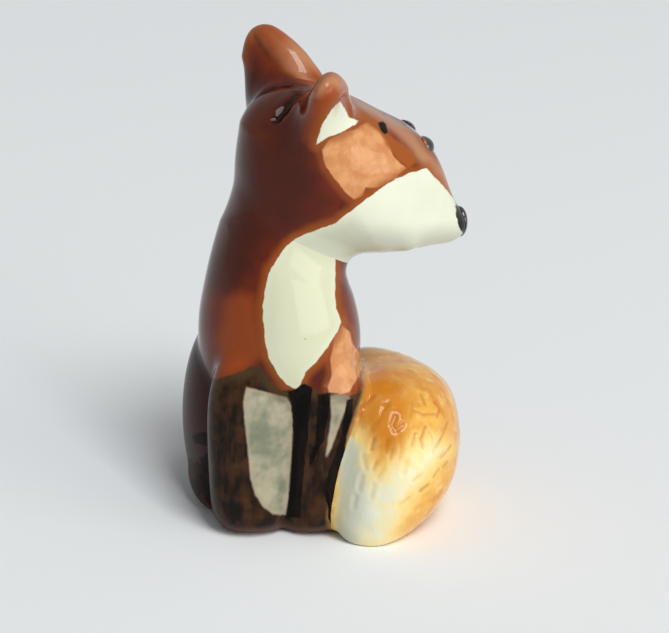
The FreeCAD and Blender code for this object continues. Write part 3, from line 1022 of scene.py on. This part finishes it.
# %% Fired glaze
def fired_glaze(name):
    glaze = Glaze(name)
    ground = glaze.mixed(glaze.in_dark, russet_stain(glaze), stocking_stain(glaze))
    ground = glaze.mixed(glaze.within("tail", 0.9, -0.1, 1.5), ground, fur_stain(glaze))
    grain = (glaze.noise(0.35, 2.0) - 0.5) * 0.08
    crisp = (glaze.mask("white") + glaze.wobble * 0.8 + grain).between(0.06, -0.06)
    faded = glaze.within("white", 0.9, -0.8, 3.0)
    in_white = crisp + glaze.on_tail * (faded - crisp)
    ground = glaze.mixed(in_white, ground, white_slip(glaze))
    ink = glaze.two_tone(glaze.drag.between(0.35, 0.7), "ink", "thin ink")
    ground = glaze.mixed(glaze.in_black, ground, ink)
    glaze.feed(glaze.shader.inputs["Base Color"], ground)

    dull = glaze.in_deep * 0.45 + glaze.in_dark * (1.0 - glaze.in_leg_reflection) * 0.3
    dull = dull + glaze.in_black * 0.4
    in_fold = glaze.groove.between(0.05, 0.4) * (1.0 - glaze.on_tail)
    coat = 1.0 - dull.least(0.6) - in_fold * 0.4
    glaze.feed(glaze.shader.inputs["Coat Weight"], coat)

    wave = glaze.noise(2.6, 1.0)
    patchy = glaze.in_dark * 0.4 + glaze.in_leg_reflection * glaze.in_dark * 1.4
    ripple = glaze.noise(0.9, 1.0) * patchy
    lumps = glaze.noise(1.5, 2.0) * glaze.on_tail * 1.3
    bump = glaze.node("ShaderNodeBump", {}, {
        "Height": wave + ripple + lumps, "Strength": 0.5, "Distance": 0.12 * MM,
    })
    glaze.feed(glaze.shader.inputs["Normal"], bump.out("Normal"))
    glaze.shader.inputs["Roughness"].default_value = 0.4
    glaze.shader.inputs["Specular IOR Level"].default_value = 0.0
    glaze.shader.inputs["Coat Roughness"].default_value = 0.04
    glaze.shader.inputs["Coat IOR"].default_value = 1.3
    return glaze.material


glazes = {slot: fired_glaze(slot) for slot in ("russet_glaze", "dark_glaze", "amber_glaze")}
for name, piece in pieces.items():
    piece.data.materials.clear()
    piece.data.materials.append(glazes[SLOTS.get(name, "russet_glaze")])
print("glazed with", ", ".join(glazes))

# %% [markdown]
# The eyes and the nose are pellets dipped in black enamel. The nose keeps its CAD node. The
# eyes are copies of theirs, pushed a little fuller and higher, with a russet glaze run on the
# near side of each. They could be new spheres, but a copy keeps the seat in the brow. The run's
# edge lies just below nothing, because the nose has no such mask and reads as nothing.

# %% Eyes
EYE_PUSH = {"eye_right": (-0.35, 0.45), "eye_left": (-0.20, 0.50)}
EYE_SWELL = 1.22
EYE_RUN = ((413, 137), (422, 134), (428, 141), (430, 153), (424, 155), (415, 148))
for name, (across, up) in EYE_PUSH.items():
    mesh = clay([name], 0.0)
    mesh.name = name + "_pellet"
    points = points_of(mesh)
    middle = (points.min(0) + points.max(0)) / 2
    push = np.array(view_right * across + view_up * up) * MM
    move_points(mesh, middle + push + (points - middle) * EYE_SWELL)
    run = outline_distance(on_picture(nearer_half(points_of(mesh))), EYE_RUN)
    layer = mesh.attributes.new("paint_run", "FLOAT", "POINT")
    layer.data.foreach_set("value", run.astype(np.float32))
    mesh.polygons.foreach_set("use_smooth", np.ones(len(mesh.polygons), bool))
    pellet = bpy.data.objects.new(mesh.name, mesh)
    bpy.context.scene.collection.objects.link(pellet)
    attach(pellet, "root")
    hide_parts(name)
    pieces[name] = pellet
print("eyes pushed by", EYE_PUSH)


# %% Black enamel
def black_enamel():
    finish = Finish("black_enamel")
    tone = finish.noise(0.9, 2.0)
    shade = finish.mixed(tone.between(0.3, 0.8), paint("enamel"), paint("thin enamel"))
    in_run = finish.mask("run").between(-0.02, -0.15)
    shade = finish.mixed(in_run, shade, paint("russet run"))
    finish.feed(finish.shader.inputs["Base Color"], shade)
    finish.shader.inputs["Roughness"].default_value = 0.3
    finish.shader.inputs["Coat Weight"].default_value = 1.0
    finish.shader.inputs["Coat Roughness"].default_value = 0.05
    return finish.material


enamel = black_enamel()
for pellet in (pieces["eye_left"], pieces["eye_right"], nodes["nose"]):
    pellet.data.materials.clear()
    pellet.data.materials.append(enamel)

# %% [markdown]
# The fox stands on a sheet of pale paper, in a pale room. A low window to its front left gives
# the long highlights, and a high softbox in front of it gives most of the light. The room
# fills the shadows. It is brighter to the camera and in the glaze than it is as a lamp, so the
# backdrop and the sheen are pale while the shadows stay.

# %% Floor
paper = Finish("paper")
paper.shader.inputs["Base Color"].default_value = paint("paper")
paper.shader.inputs["Roughness"].default_value = 0.9
paper.shader.inputs["Specular IOR Level"].default_value = 0.1
sheet = bmesh.new()
bmesh.ops.create_grid(sheet, x_segments=1, y_segments=1, size=3.0)
floor_mesh = bpy.data.meshes.new("floor")
sheet.to_mesh(floor_mesh)
sheet.free()
floor_mesh.materials.append(paper.material)
floor = bpy.data.objects.new("floor", floor_mesh)
bpy.context.scene.collection.objects.link(floor)


# %% Lamps and room
def window(name, azimuth_deg, elevation_deg, distance, width, height, watts, tint):
    """A softbox that looks at the fox from a direction, with 0 in front of the chest."""
    turn = math.radians(azimuth_deg)
    lift = math.radians(elevation_deg)
    towards = Vector((
        math.sin(turn) * math.cos(lift), -math.cos(turn) * math.cos(lift), math.sin(lift)
    ))
    lamp_data = bpy.data.lights.new(name, "AREA")
    lamp_data.shape = "RECTANGLE"
    lamp_data.size = width
    lamp_data.size_y = height
    lamp_data.energy = watts
    lamp_data.color = tint
    lamp = bpy.data.objects.new(name, lamp_data)
    middle = Vector((0.003, 0, 0.018))
    lamp.location = middle + towards * distance
    lamp.rotation_euler = towards.to_track_quat("Z", "Y").to_euler()
    lamp.visible_camera = False
    bpy.context.scene.collection.objects.link(lamp)
    return lamp


ROOM_FILL = 0.26
ROOM_SEEN_EXTRA = 0.36
window(
    "key_window", azimuth_deg=40, elevation_deg=14, distance=0.60, width=0.62, height=0.26,
    watts=1.6, tint=(1.0, 0.96, 0.90),
)
window(
    "sky_light", azimuth_deg=12, elevation_deg=57, distance=4.0, width=1.42, height=1.96,
    watts=92.0, tint=(0.97, 0.98, 1.0),
)
room = bpy.data.worlds.new("room")
room.use_nodes = True
sky = room.node_tree.nodes["Background"]
sky.inputs["Color"].default_value = (0.92, 0.965, 1.0, 1.0)
ray = room.node_tree.nodes.new("ShaderNodeLightPath")
seen = room.node_tree.nodes.new("ShaderNodeMath")
seen.operation = "MAXIMUM"
room.node_tree.links.new(ray.outputs["Is Camera Ray"], seen.inputs[0])
room.node_tree.links.new(ray.outputs["Is Glossy Ray"], seen.inputs[1])
level = room.node_tree.nodes.new("ShaderNodeMath")
level.operation = "MULTIPLY_ADD"
level.inputs[1].default_value = ROOM_SEEN_EXTRA
level.inputs[2].default_value = ROOM_FILL
room.node_tree.links.new(seen.outputs[0], level.inputs[0])
room.node_tree.links.new(level.outputs[0], sky.inputs["Strength"])
bpy.context.scene.world = room
bpy.context.scene.view_settings.view_transform = "Standard"
